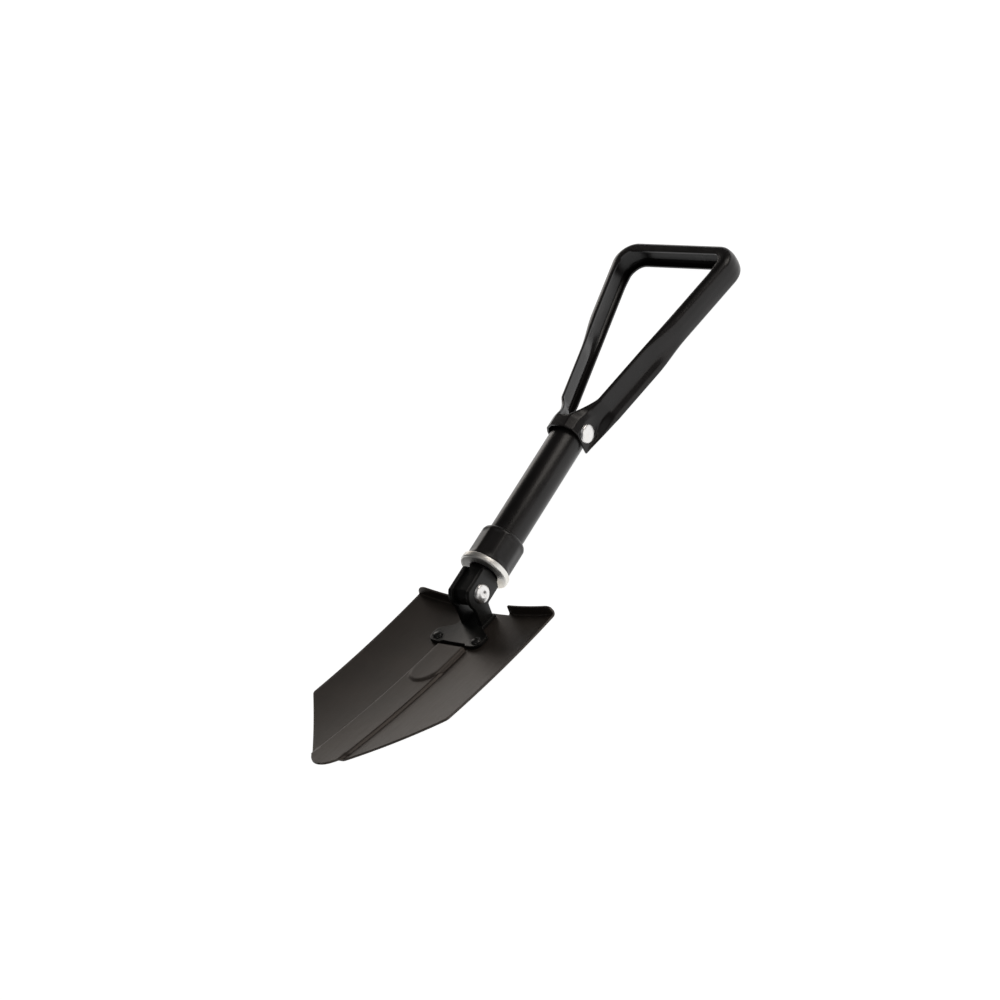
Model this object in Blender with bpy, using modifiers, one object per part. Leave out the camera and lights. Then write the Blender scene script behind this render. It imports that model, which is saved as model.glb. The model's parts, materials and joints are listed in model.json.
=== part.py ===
"""Camp shovel: a folding blade, a tube with a screw lock, and a triangular folding handle.

It is modelled on the blade pivot: +X is the blade's width, +Y runs up the tube to the handle
and +Z is the dished face.  One empty then lays the shovel on its back, so that the blade's
heel and the grip touch the ground plane and the origin is under the middle of the box.
"""
import math

import bmesh
import bpy
import numpy as np
from mathutils import Matrix, Vector

# ---- driving dimensions, metres and degrees ----
BLADE_WIDTH = 0.150
BLADE_LENGTH = 0.212          # step face to point, along the blade
BLADE_SIDE = 0.137            # straight part of each side edge
BLADE_SHEET = 0.0018
BLADE_LIFT = 17.6             # blade against the tube
CROSS_DISH = 0.0077
LENGTH_DISH = 0.0046
POINT_RADIUS = 0.015
STEP_HEIGHT = 0.0085          # folded foot step on each shoulder
STEP_GAP = 0.049              # between the two steps
STEP_CORNER = 0.009           # run of the rounding at each step's outer top corner
STEP_CORNER_DROP = 0.8        # share of the step's height that it takes off
STEP_BEND = 0.0022
RIB_WIDTH = 0.032
RIB_HEIGHT = 0.0020
RIB_START = 0.066
PAD_LENGTH = 0.086            # end of the raised pad that runs on from the bracket's foot
PAD_SETBACK = 0.0006          # foot's front edge to the pad
PAD_RISE_RUN = 0.0020
PAD_WIDTH = 0.029
PAD_HEIGHT = 0.0032
PRESS_SLOPE = 0.0034          # run of each pressed edge
PIVOT_HEIGHT = 0.030          # blade's deepest line to the pivot
STEP_BACK = 0.0092            # step face behind the pivot

TUBE_DIAMETER = 0.030
TUBE_WALL = 0.0015
PIVOT_SPAN = 0.170            # blade pivot to handle pivot
TUBE_RISE = 0.0070            # tube above the handle pivot
TUBE_CHAMFER = 0.0006
CROSS_PIN_R = 0.0020
CROSS_PIN_RISE = 0.0050       # above the thread
PLUG_LENGTH = 0.0294          # knuckle's plug inside the tube
TONGUE_NOSE = 0.0014          # round nose proud of the tongue's flats
TONGUE_ROOT = 0.0034          # tongue's overlap with its plug

EAR_GAP = 0.016               # between the bracket's two ears
EAR_SHEET = 0.0038
CAM_RADIUS = 0.0200
CAM_REACH = 0.0196            # flat that the ring presses
EAR_DEPTH = 0.024
NOSE_RADIUS = 0.0145
NECK_FRONT = 0.0115            # along the blade from the pivot
NECK_BACK = -0.0035
NECK_TOP = 0.014               # under the pivot
FOOT_WIDTH = 0.056
FOOT_LENGTH = 0.0375          # pivot to the foot's front edge, along the blade
FOOT_SHEET = 0.0030
FOOT_RIVET = 0.0050
FOOT_RIVET_IN = 0.0065        # rivet to the foot's side edge
FOOT_RIVET_BACK = 0.0070      # rivet to the foot's front edge
FOOT_HEM = 0.0008             # foot behind the ears' necks

RING_RIM = 0.00225            # ring beyond the nut, all round
RING_THICKNESS = 0.0058
RING_LEDGE = 0.0005           # ring's bore inside the tube's
NUT_WALL = 0.00215            # outside the thread
NUT_LENGTH = 0.0300
NUT_FLUTES = 8
FLUTE_DEPTH = 0.0007
THREAD_HEIGHT = 0.0014
THREAD_LENGTH = 0.0140
THREAD_PITCH = 0.0035
NUT_TRAVEL = 0.0062            # ring and nut, from locked to free

PIN_DIAMETER = 0.0080
PIN_HEAD = 0.0164
PIN_DOME = 0.0029

HANDLE_LENGTH = 0.2055        # handle pivot to the grip's outer face
GRIP_WIDTH = 0.1400           # where the arms' outer lines meet the grip's
HANDLE_DEPTH = 0.024
HANDLE_SHEET = 0.0016
ARM_FLANGE = 0.0093
FLANGE_LEAST = 0.0020         # front flange past its corner, where the arch narrows it
ARM_LIP = 0.0074
GRIP_FLANGE = 0.0125
GRIP_LIP = 0.0096
CORNER_RADIUS = 0.020
ARM_START = 0.026             # above the pivot, where the arms run straight
ARM_START_HALF = 0.0288
EAR_FLAT = PIN_HEAD / 2 + 0.0008   # flat part of the handle's ears round their rivet
EAR_DROP = 0.0115             # handle ears below their pivot, at the back
WEB_DROP = 0.70               # share of that drop that the front web has
WEB_RISE = 0.0025             # front web above the pivot
WEB_VEE = 0.0045              # height over which the front flanges part from the web
PANEL_DEPTH = 0.0056          # hollow pressed in the lower half of each arm's side
PANEL_END = 0.078             # above the pivot, where the hollow starts to fade
PANEL_FADE = 0.042

# ---- clearances ----
GAP = 0.0003                  # between touching pieces
RUN = 0.0004                  # round a pin that turns
CAM_CLEARANCE = 0.0002        # cam's corner to the ring, beyond the touching gap
TONGUE_CLEARANCE = 0.0007     # knuckle's corners to the ring's bore

# ---- worked out from the above ----
TUBE_R = TUBE_DIAMETER / 2
BORE_R = TUBE_R - TUBE_WALL
PIN_R = PIN_DIAMETER / 2
EAR_IN = EAR_GAP / 2
EAR_OUT = EAR_IN + EAR_SHEET
RING_BASE = CAM_RADIUS + CAM_CLEARANCE
RING_TOP = RING_BASE + RING_THICKNESS
NUT_BASE = RING_TOP + GAP
NUT_TOP = NUT_BASE + NUT_LENGTH
THREAD_R = TUBE_R + GAP + THREAD_HEIGHT
NUT_R = THREAD_R + RUN + NUT_WALL
RING_R = NUT_R + RING_RIM
RING_BORE = BORE_R - RING_LEDGE
THREAD_BASE = RING_TOP + NUT_TRAVEL + GAP
TUBE_START = THREAD_BASE
CROSS_PIN_Y = THREAD_BASE + THREAD_LENGTH + CROSS_PIN_RISE
HANDLE_EAR = TUBE_R + RUN + HANDLE_SHEET
WEB_IN = math.hypot(TUBE_R, TUBE_RISE) + GAP
WEB_OUT = WEB_IN + HANDLE_SHEET
LIFT = math.radians(BLADE_LIFT)
ALONG = Vector((0, -math.cos(LIFT), math.sin(LIFT)))
OUT = Vector((0, math.sin(LIFT), math.cos(LIFT)))
FOOT_START = NECK_BACK - FOOT_HEM
RIVET_X = FOOT_WIDTH / 2 - FOOT_RIVET_IN
RIVET_L = FOOT_LENGTH - FOOT_RIVET_BACK
PLATE_TOP = -STEP_BACK + STEP_BEND / 2
SHOULDER = -STEP_BACK + BLADE_SIDE
POINT = -STEP_BACK + BLADE_LENGTH
HALF_BLADE = BLADE_WIDTH / 2


# ---- small tools ----
def smooth(t):
    """0 to 1 with flat ends."""
    t = min(max(t, 0.0), 1.0)
    return t * t * (3 - 2 * t)


def collection(name):
    made = bpy.data.collections.new(name)
    bpy.context.scene.collection.children.link(made)
    return made


def material(name, colour, roughness, metallic):
    made = bpy.data.materials.new(name)
    made.use_nodes = True
    shader = made.node_tree.nodes["Principled BSDF"]
    shader.inputs["Base Color"].default_value = (*colour, 1)
    shader.inputs["Roughness"].default_value = roughness
    shader.inputs["Metallic"].default_value = metallic
    made.diffuse_color = (*colour, 1)
    return made


def add(name, mesh, look, place=(0, 0, 0), turn=(0, 0, 0), group=None):
    """Put a mesh in the scene under the shovel's root empty."""
    made = bpy.data.objects.new(name, mesh)
    made.location = place
    made.rotation_euler = turn
    (group or PARTS).objects.link(made)
    made.parent = root
    if look:
        mesh.materials.append(look)
    return made


def mesh_from(shape, name):
    mesh = bpy.data.meshes.new(name)
    shape.to_mesh(mesh)
    shape.free()
    return mesh


def sheet_mesh(name, rows):
    """An open surface through rows of points; a face with a missing corner is left out."""
    shape = bmesh.new()
    grid = [[shape.verts.new(p) if p is not None else None for p in row] for row in rows]
    for low, high in zip(grid, grid[1:]):
        for i in range(len(low) - 1):
            corners = (low[i], low[i + 1], high[i + 1], high[i])
            if None not in corners:
                shape.faces.new(corners)
    loose = [v for v in shape.verts if not v.link_faces]
    bmesh.ops.delete(shape, geom=loose, context="VERTS")
    return mesh_from(shape, name)


def turned(name, profile, look, steps=48, place=(0, 0, 0), turn=(-math.pi / 2, 0, 0)):
    """A profile of (radius, height), down the outside, spun about its own Z axis.

    The default turn lays that axis along the tube, with heights running towards the handle.
    """
    shape = bmesh.new()
    points = [shape.verts.new((r, 0, h)) for r, h in profile]
    for a, b in zip(points, points[1:]):
        shape.edges.new((a, b))
    if profile[0][0] > 0:
        shape.edges.new((points[-1], points[0]))
    made = add(name, mesh_from(shape, name), look, place, turn)
    screw = made.modifiers.new("turn", "SCREW")
    screw.angle = math.tau
    screw.steps = screw.render_steps = steps
    screw.use_merge_vertices = True
    screw.merge_threshold = 0.00001
    return made


def extruded(name, outline, low, high, look=None, group=None):
    """A flat outline of (y, z) points, extruded along X from low to high."""
    shape = bmesh.new()
    face = shape.faces.new([shape.verts.new((low, y, z)) for y, z in outline])
    pulled = bmesh.ops.extrude_face_region(shape, geom=[face])["geom"]
    for v in (g for g in pulled if isinstance(g, bmesh.types.BMVert)):
        v.co.x = high
    bmesh.ops.recalc_face_normals(shape, faces=shape.faces)
    return add(name, mesh_from(shape, name), look, group=group)


def peg(name, radius, low, high, axis, centre, sides=24):
    """A round cutter about a line through centre, from low to high along axis."""
    shape = bmesh.new()
    bmesh.ops.create_cone(shape, cap_ends=True, segments=sides, radius1=radius,
                          radius2=radius, depth=high - low)
    towards = Vector(axis).to_track_quat("Z", "Y").to_matrix().to_4x4()
    middle = Vector(centre) + Vector(axis) * (low + high) / 2
    bmesh.ops.transform(shape, matrix=Matrix.Translation(middle) @ towards, verts=shape.verts)
    made = add(name, mesh_from(shape, name), None, group=CUTTERS)
    made.hide_render = True
    made.display_type = "WIRE"
    return made


def combine(target, other, operation):
    change = target.modifiers.new(operation.lower(), "BOOLEAN")
    change.operation = operation
    change.object = other
    return change


def helper(made):
    """Keep a piece that is only joined into another out of the parts."""
    made.hide_render = True
    made.display_type = "WIRE"
    return made


# ---- blade ----
def half_width(l):
    """Half the blade's width at l: straight sides, then edges that meet a rounded point."""
    centre = POINT - POINT_RADIUS
    reach = centre - SHOULDER
    slope = math.atan2(HALF_BLADE, reach) - math.asin(POINT_RADIUS / math.hypot(HALF_BLADE, reach))
    meet = centre + POINT_RADIUS * math.sin(slope)
    if l <= SHOULDER:
        return HALF_BLADE
    if l <= meet:
        return HALF_BLADE - (l - SHOULDER) * math.tan(slope)
    return math.sqrt(max(0.0, POINT_RADIUS ** 2 - (l - centre) ** 2))


def pressed(x, l):
    """Height of the pad and the rib pressed into the blade's middle."""
    pad_end = math.hypot(max(0.0, l - (PAD_LENGTH - PAD_WIDTH / 2)), x)
    pad = PAD_HEIGHT * smooth((PAD_WIDTH / 2 - pad_end) / PRESS_SLOPE + 0.5)
    pad *= smooth((l - FOOT_LENGTH - PAD_SETBACK) / PAD_RISE_RUN)
    rib = RIB_HEIGHT * smooth((RIB_WIDTH / 2 - abs(x)) / PRESS_SLOPE + 0.5)
    rib *= smooth((l - RIB_START) / PRESS_SLOPE / 2)
    return max(pad, rib)


def dish(x, l):
    """Height of the dished middle surface over its deepest line."""
    middle = -STEP_BACK + 0.45 * BLADE_LENGTH
    along = (l - middle) / (BLADE_LENGTH / 2)
    return CROSS_DISH * (x / HALF_BLADE) ** 2 + LENGTH_DISH * along ** 2 + pressed(x, l)


def on_blade(x, l, up=0.0):
    """A point over the blade's middle surface, with the pivot at the origin."""
    return Vector((x, 0, 0)) + ALONG * l + OUT * (dish(x, l) + up - PIVOT_HEIGHT)


def blade_columns(l):
    """Places across the blade: close together at the rib's edges, with one at each step's end."""
    half = half_width(l)
    inner = min(RIB_WIDTH / 2 + PRESS_SLOPE * 0.6, 0.72 * half)
    step = (STEP_GAP / 2 - inner) / (half - inner) if l < SHOULDER / 2 else 0.18
    inside = [inner * c for c in (0.0, 0.4, 0.70, 0.80, 0.90)]
    outside = [inner + (half - inner) * c for c in (0, step, 0.38, 0.57, 0.76, 0.91, 1)]
    right = inside + outside
    return [-x for x in reversed(right[1:])] + right


def blade_rows():
    """Distances along the blade: closer at the heel, the pad's end and the point."""
    pad = FOOT_LENGTH + PAD_SETBACK
    rows = [PLATE_TOP + (pad - PLATE_TOP) * k / 7 for k in range(8)]
    rows += [pad + PAD_RISE_RUN / 2, pad + PAD_RISE_RUN]
    rows += [rows[-1] + (SHOULDER - rows[-1]) * k / 14 for k in range(1, 15)]
    centre = POINT - POINT_RADIUS
    rows += [SHOULDER + (centre + 0.008 - SHOULDER) * k / 7 for k in range(1, 8)]
    rows += [centre + POINT_RADIUS * math.sin(math.radians(a)) for a in (42, 54, 65, 75, 84)]
    return rows


def step_rows():
    """Rows that fold each shoulder forward into a step, from its top edge to the plate."""
    columns = blade_columns(PLATE_TOP)
    rows = []
    rise = STEP_HEIGHT - STEP_BEND
    for k in (3, 2, 1, 0):
        row = []
        for x in columns:
            if abs(x) < STEP_GAP / 2 - 0.0001:
                row.append(None)
                continue
            corner = min(1.0, max(0.0, abs(x) - (HALF_BLADE - STEP_CORNER)) / STEP_CORNER)
            height = rise * (1 - STEP_CORNER_DROP * (1 - math.sqrt(1 - corner ** 2)))
            turn = math.radians(90 if k == 3 else 30 * (k + 1))
            up = STEP_BEND * (1 - math.cos(turn)) + (height if k == 3 else 0)
            back = PLATE_TOP - STEP_BEND * math.sin(turn)
            row.append(on_blade(x, PLATE_TOP, up) + ALONG * (back - PLATE_TOP))
        rows.append(row)
    return rows


def build_blade():
    rows = step_rows() + [[on_blade(x, l) for x in blade_columns(l)] for l in blade_rows()]
    made = add("blade", sheet_mesh("blade", rows), BLADE_BLACK)
    skin = made.modifiers.new("sheet", "SOLIDIFY")
    skin.thickness = BLADE_SHEET
    skin.offset = 0
    skin.use_even_offset = True
    for side, hole in ((-1, "left"), (1, "right")):
        combine(made, rivet_hole("blade_hole_" + hole, side), "DIFFERENCE")
    return made


# ---- bracket ----
def foot_half(l):
    """Half the foot's width: narrow between the ears, two round lobes at the front."""
    narrow = EAR_OUT + 0.002
    wide = FOOT_WIDTH / 2
    spread = smooth((l - 0.010) / 0.014)
    front = max(0.0, (l - (FOOT_LENGTH - 0.007)) / 0.007)
    return narrow + (wide - narrow) * spread - 0.006 * (1 - math.sqrt(max(0.0, 1 - front ** 2)))


def rivet_frame(side):
    """Where a foot rivet stands on the blade and which way it points."""
    x = side * RIVET_X
    here = on_blade(x, RIVET_L)
    across = (on_blade(x + 0.001, RIVET_L) - on_blade(x - 0.001, RIVET_L)).normalized()
    down = (on_blade(x, RIVET_L + 0.001) - on_blade(x, RIVET_L - 0.001)).normalized()
    return here, down.cross(across).normalized() * (1 if down.cross(across).dot(OUT) > 0 else -1)


def rivet_hole(name, side):
    here, up = rivet_frame(side)
    return peg(name, FOOT_RIVET / 2 + RUN, -0.004, 0.008, up, here, sides=16)


def neck_foot(l):
    """How far under the pivot an ear's neck meets the middle of the foot's sheet."""
    middle = (EAR_IN + EAR_OUT) / 2
    return PIVOT_HEIGHT - dish(middle, l) - (BLADE_SHEET + FOOT_SHEET) / 2 - GAP


def ear_outline():
    """One ear seen from the side: cam flats round the pivot, then a neck down to the foot."""
    half_flat = math.sqrt(CAM_RADIUS ** 2 - CAM_REACH ** 2)
    side = EAR_DEPTH / 2
    edge = math.atan2(side, math.sqrt(CAM_RADIUS ** 2 - side ** 2))
    first = math.atan2(half_flat, CAM_REACH)
    outline = []
    for k in range(4):
        a = first + (edge - first) * k / 3
        outline.append((CAM_RADIUS * math.cos(a), CAM_RADIUS * math.sin(a)))
    nose = -math.asin(side / NOSE_RADIUS) if side < NOSE_RADIUS else -math.pi / 2
    start, end = math.pi + nose, math.pi + LIFT
    for k in range(7):
        a = start + (end - start) * k / 6
        outline.append((NOSE_RADIUS * math.cos(a), NOSE_RADIUS * math.sin(a)))
    for l, down in ((NECK_FRONT, NECK_TOP), (NECK_FRONT, neck_foot(NECK_FRONT)),
                    (NECK_BACK, neck_foot(NECK_BACK)), (NECK_BACK, NECK_TOP)):
        point = ALONG * l - OUT * down
        outline.append((point.y, point.z))
    outline.append((0.0, -side))
    for k in range(4):
        a = -edge + (edge - first) * k / 3
        outline.append((CAM_RADIUS * math.cos(a), CAM_RADIUS * math.sin(a)))
    return outline


def build_bracket():
    rows = []
    steps = 14
    for k in range(steps + 1):
        l = FOOT_START + (FOOT_LENGTH - FOOT_START) * k / steps
        half = foot_half(l)
        across = [half * c for c in (-1, -0.86, -0.70, -0.55, -0.42, -0.2, 0,
                                     0.2, 0.42, 0.55, 0.70, 0.86, 1)]
        up = (BLADE_SHEET + FOOT_SHEET) / 2 + GAP
        rows.append([on_blade(x, l, up) for x in across])
    made = add("blade_bracket", sheet_mesh("blade_bracket", rows), BRACKET_BLACK)
    skin = made.modifiers.new("sheet", "SOLIDIFY")
    skin.thickness = FOOT_SHEET
    skin.offset = 0
    for side, word in ((-1, "left"), (1, "right")):
        low, high = sorted((side * EAR_IN, side * EAR_OUT))
        ear = helper(extruded("ear_" + word, ear_outline(), low, high, group=CUTTERS))
        combine(made, ear, "UNION")
        combine(made, rivet_hole("foot_hole_" + word, side), "DIFFERENCE")
    combine(made, peg("ear_bore", PIN_R + RUN, -EAR_OUT - 0.01, EAR_OUT + 0.01, (1, 0, 0),
                      (0, 0, 0)), "DIFFERENCE")
    return made


def build_foot_rivets():
    """A round-headed rivet through each lobe of the foot and the blade."""
    shank = FOOT_RIVET / 2
    head = FOOT_RIVET * 0.85
    top = BLADE_SHEET / 2 + GAP + FOOT_SHEET + GAP
    base = -BLADE_SHEET / 2 - GAP
    profile = [(0, top + 0.0022), (head * 0.55, top + 0.0019), (head * 0.9, top + 0.0010),
               (head, top), (shank, top), (shank, base), (head * 0.9, base),
               (head * 0.8, base - 0.0008), (0, base - 0.0010)]
    for side, word in ((-1, "left"), (1, "right")):
        here, up = rivet_frame(side)
        turn = up.to_track_quat("Z", "Y").to_euler()
        turned("foot_rivet_" + word, profile, BRACKET_BLACK, 20, here, turn)


# ---- pivot pins ----
def pin_profile(reach):
    """A domed rivet, one head at each end of a plain shank that is 2 * reach long."""
    head = PIN_HEAD / 2
    dome = [(head, 0.0), (head, 0.0008), (head * 0.86, 0.0014), (head * 0.78, 0.0027),
            (head * 0.55, PIN_DOME), (head * 0.32, PIN_DOME), (head * 0.18, PIN_DOME - 0.0007),
            (0, PIN_DOME - 0.0008)]
    upper = [(r, reach + h) for r, h in reversed(dome)]
    lower = [(r, -reach - h) for r, h in dome]
    return upper + [(PIN_R, reach), (PIN_R, -reach)] + lower


def build_pins():
    across = (0, math.pi / 2, 0)
    turned("blade_pivot_rivet", pin_profile(EAR_OUT + GAP), RIVET_STEEL, 32, turn=across)
    turned("handle_pivot_rivet", pin_profile(HANDLE_EAR + GAP), RIVET_STEEL, 32,
           (0, PIVOT_SPAN, 0), across)


# ---- shaft ----
def build_knuckle():
    """The tongue that the ears straddle, in one piece with the plug inside the tube."""
    half = EAR_IN - GAP
    depth = math.sqrt((RING_BORE - TONGUE_CLEARANCE) ** 2 - half ** 2)
    nose = depth + TONGUE_NOSE
    plug_start = TUBE_START + TUBE_CHAMFER
    outline = [(plug_start + TONGUE_ROOT, -depth), (plug_start + TONGUE_ROOT, depth)]
    start = math.asin(depth / nose)
    for k in range(9):
        a = math.pi - start + 2 * start * k / 8
        outline.append((nose * math.cos(a), nose * math.sin(a)))
    tongue = extruded("shaft_knuckle", outline, -half, half, KNUCKLE_BLACK)
    plug = peg("plug", BORE_R - GAP, plug_start, plug_start + PLUG_LENGTH, (0, 1, 0), (0, 0, 0), 40)
    combine(tongue, plug, "UNION")
    combine(tongue, peg("tongue_bore", PIN_R + RUN, -0.02, 0.02, (1, 0, 0), (0, 0, 0)),
            "DIFFERENCE")
    combine(tongue, peg("plug_bore", CROSS_PIN_R + RUN, -0.02, 0.02, (1, 0, 0),
                        (0, CROSS_PIN_Y, 0), 12), "DIFFERENCE")
    return tongue


def build_tube():
    top = PIVOT_SPAN + TUBE_RISE
    profile = [(TUBE_R, top - TUBE_CHAMFER), (TUBE_R, TUBE_START + TUBE_CHAMFER),
               (TUBE_R - TUBE_CHAMFER, TUBE_START), (BORE_R, TUBE_START), (BORE_R, top),
               (TUBE_R - TUBE_CHAMFER, top)]
    tube = turned("shaft_tube", profile, TUBE_BLACK)
    combine(tube, peg("tube_bore", PIN_R + RUN, -0.03, 0.03, (1, 0, 0), (0, PIVOT_SPAN, 0)),
            "DIFFERENCE")
    combine(tube, peg("tube_pin_bore", CROSS_PIN_R + RUN, -0.03, 0.03, (1, 0, 0),
                      (0, CROSS_PIN_Y, 0), 12), "DIFFERENCE")
    pin = CROSS_PIN_R
    reach = TUBE_R - 0.0002
    turned("knuckle_cross_pin", [(0, reach), (pin, reach - 0.0004), (pin, -reach + 0.0004),
                                 (0, -reach)], RIVET_STEEL, 16, (0, CROSS_PIN_Y, 0),
           (0, math.pi / 2, 0))
    cap = BORE_R - GAP
    low = PIVOT_SPAN + PIN_R + RUN + 0.0004
    rim = top + GAP
    turned("tube_end_plug", [(0, rim + 0.0022), (cap * 0.5, rim + 0.0018), (cap * 0.85, rim + 0.0008),
                             (TUBE_R - 0.0014, rim), (cap, rim), (cap, low), (0, low)],
           PLUG_BLACK, 40)


def build_thread():
    """The screwed sleeve that the nut climbs, fixed on the tube's lower end."""
    turns = max(2, round(THREAD_LENGTH / THREAD_PITCH))
    pitch = THREAD_LENGTH / turns
    core = TUBE_R + GAP
    high = THREAD_BASE + THREAD_LENGTH
    outer = []
    for k in range(turns):
        top = high - k * pitch
        outer += [(THREAD_R - 0.0006, top), (THREAD_R, top - pitch * 0.3),
                  (THREAD_R, top - pitch * 0.6)]
    outer.append((THREAD_R - 0.0006, THREAD_BASE))
    turned("threaded_sleeve", outer + [(core, THREAD_BASE), (core, high)], KNUCKLE_BLACK, 40)


def build_ring():
    out, bore, edge = RING_R, RING_BORE, 0.0010
    turned("pressure_ring", [(out - edge, RING_TOP), (out, RING_TOP - edge),
                             (out, RING_BASE + edge), (out - edge, RING_BASE),
                             (bore, RING_BASE), (bore, RING_TOP)], RING_ZINC, 64)


def build_nut():
    """A fluted nut: its wall has shallow waves, and a lip at the top closes on the tube."""
    lip = TUBE_R + RUN
    bore = THREAD_R + RUN
    cone = 0.0034
    outer = [(lip + 0.0008, NUT_TOP), (NUT_R - 0.0020, NUT_TOP - cone * 0.45),
             (NUT_R, NUT_TOP - cone), (NUT_R, NUT_BASE + 0.004), (NUT_R, NUT_BASE + 0.0008),
             (NUT_R - 0.0008, NUT_BASE)]
    inner = [(bore, NUT_BASE), (bore, NUT_TOP - 0.004), (lip, NUT_TOP - 0.0025), (lip, NUT_TOP)]
    steps = NUT_FLUTES * 8
    shape = bmesh.new()
    rings = []
    for r, h in outer + inner:
        ring = []
        for k in range(steps):
            a = math.tau * k / steps
            wave = FLUTE_DEPTH * (1 - math.cos(NUT_FLUTES * a)) / 2 if r > NUT_R - 0.0001 else 0
            ring.append(shape.verts.new(((r - wave) * math.cos(a), h, (r - wave) * math.sin(a))))
        rings.append(ring)
    for a, b in zip(rings, rings[1:] + rings[:1]):
        for k in range(steps):
            n = (k + 1) % steps
            shape.faces.new((a[k], a[n], b[n], b[k]))
    bmesh.ops.recalc_face_normals(shape, faces=shape.faces)
    return add("locking_nut", mesh_from(shape, "locking_nut"), NUT_BLACK)


# ---- handle ----
def ease(t):
    """smooth() for a whole array."""
    t = np.clip(t, 0.0, 1.0)
    return t * t * (3 - 2 * t)


def handle_line():
    """Half the handle's outer line and its outward directions, from the grip's middle down.

    It runs along the grip, round the corner, down the arm and past the pivot to the ear's end.
    Heights are over the handle pivot.
    """
    slope = (GRIP_WIDTH / 2 - ARM_START_HALF) / (HANDLE_LENGTH - ARM_START)
    arm = np.array((slope, 1.0)) / math.hypot(slope, 1)
    side = np.array((arm[1], -arm[0]))
    run = CORNER_RADIUS / math.tan(math.acos(arm[0]) / 2)
    centre = np.array((GRIP_WIDTH / 2 - run, HANDLE_LENGTH - CORNER_RADIUS))
    x = np.linspace(0, centre[0], 5)
    grip = np.stack((x, 0 * x + HANDLE_LENGTH), axis=1)
    a = np.linspace(math.pi / 2, math.atan2(side[1], side[0]), 8)[1:]
    turn = np.stack((np.cos(a), np.sin(a)), axis=1)
    corner = centre + CORNER_RADIUS * turn
    t = np.linspace(0, 1, 17)[1:, None]
    straight = corner[-1] * (1 - t) + np.array((ARM_START_HALF, ARM_START)) * t
    y = np.concatenate((np.linspace(ARM_START, WEB_RISE + WEB_VEE, 8)[1:],
                        np.linspace(WEB_RISE + WEB_VEE, WEB_RISE, 4)[1:],
                        np.linspace(0.0, -EAR_DROP, 3)))
    t = np.clip((y + EAR_DROP) / (ARM_START + EAR_DROP), 0, 1)
    low = HANDLE_EAR
    lower = np.stack((low + (ARM_START_HALF - low) * t ** 1.1, y), axis=1)
    lean = ease((y - EAR_FLAT) / (ARM_START - EAR_FLAT)) * math.atan(slope)
    lower_out = np.stack((np.cos(lean), -np.sin(lean)), axis=1)
    line = np.concatenate((grip, corner, straight, lower))
    out = np.concatenate((np.tile((0.0, 1.0), (len(grip), 1)), turn,
                          np.tile(side, (len(straight), 1)), lower_out))
    return line, out


def corner_list(like, pairs):
    """(stations, corners, 2) from pairs whose members are numbers or one value a station."""
    columns = [np.stack([0 * like + value for value in pair], axis=-1) for pair in pairs]
    return np.stack(columns, axis=1)


def handle_corners(line):
    """Corners (inward, z) of the section at each station, from front flange to rear lip."""
    x, y = line.T
    grip = ease((y - (HANDLE_LENGTH - 0.040)) / 0.030)
    upper = ease((y - PANEL_END) / PANEL_FADE)[:, None]
    base = 1 - ease((y - WEB_RISE) / (ARM_START - WEB_RISE))
    rear = HANDLE_DEPTH / 2
    front = rear + (WEB_OUT - rear) * base
    flange = ARM_FLANGE + (GRIP_FLANGE - ARM_FLANGE) * grip
    near = x + (flange - x) * ease((y - WEB_RISE) / WEB_VEE)
    flange = np.where(y < ARM_START, near, flange)
    lip = ARM_LIP + (GRIP_LIP - ARM_LIP) * grip
    thin = HANDLE_SHEET * 1.2
    lip = thin + (lip - thin) * ease((y - 0.010) / 0.025)
    ear = np.maximum(x - HANDLE_EAR, 0.0001)
    panel = ear + (PANEL_DEPTH - ear) * ease((y - EAR_FLAT) / 0.018)
    round_arm = corner_list(x, ((flange, front), (0.0055, front), (0.0016, 0.0096), (0, 0.0035),
                                (0, -0.0035), (0.0012, -0.0096), (0.0045, -rear), (lip, -rear)))
    hollow = corner_list(x, ((flange, front), (panel + 0.0022, front),
                             (panel + 0.0008, front - 0.0012), (panel, 0.0020),
                             (panel - 0.0006, -0.0025), (0.0004, -0.0078), (0, -rear),
                             (lip, -rear)))
    arch = corner_list(x, ((flange, front), (panel + 0.0095, front),
                           (panel + 0.0028, front - 0.0048), (panel, 0.0080),
                           (panel, -0.0095), (0.0001, -0.0108), (0, -rear), (lip, -rear)))
    lower = hollow + (arch - hollow) * base[:, None, None]
    lower[:, 0, 0] = np.maximum(lower[:, 0, 0], lower[:, 1, 0] + FLANGE_LEAST)
    return lower + (round_arm - lower) * upper[:, None], 0.0020 - 0.0011 * base


def handle_section(line, steps):
    """The corners rounded off: each is cut back by a radius and bridged by a curve."""
    corners, radius = handle_corners(line)
    radius = radius[:, None, None]
    before, here, after = corners[:, :-2], corners[:, 1:-1], corners[:, 2:]
    towards, onwards = before - here, after - here
    back = np.linalg.norm(towards, axis=-1, keepdims=True)
    ahead = np.linalg.norm(onwards, axis=-1, keepdims=True)
    start = (here + towards / back * np.minimum(radius, back * 0.45))[:, :, None]
    end = (here + onwards / ahead * np.minimum(radius, ahead * 0.45))[:, :, None]
    t = np.linspace(0, 1, steps + 1)[:, None]
    curve = (1 - t) ** 2 * start + 2 * t * (1 - t) * here[:, :, None] + t ** 2 * end
    return np.concatenate((corners[:, :1], curve.reshape(len(line), -1, 2), corners[:, -1:]), axis=1)


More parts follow.
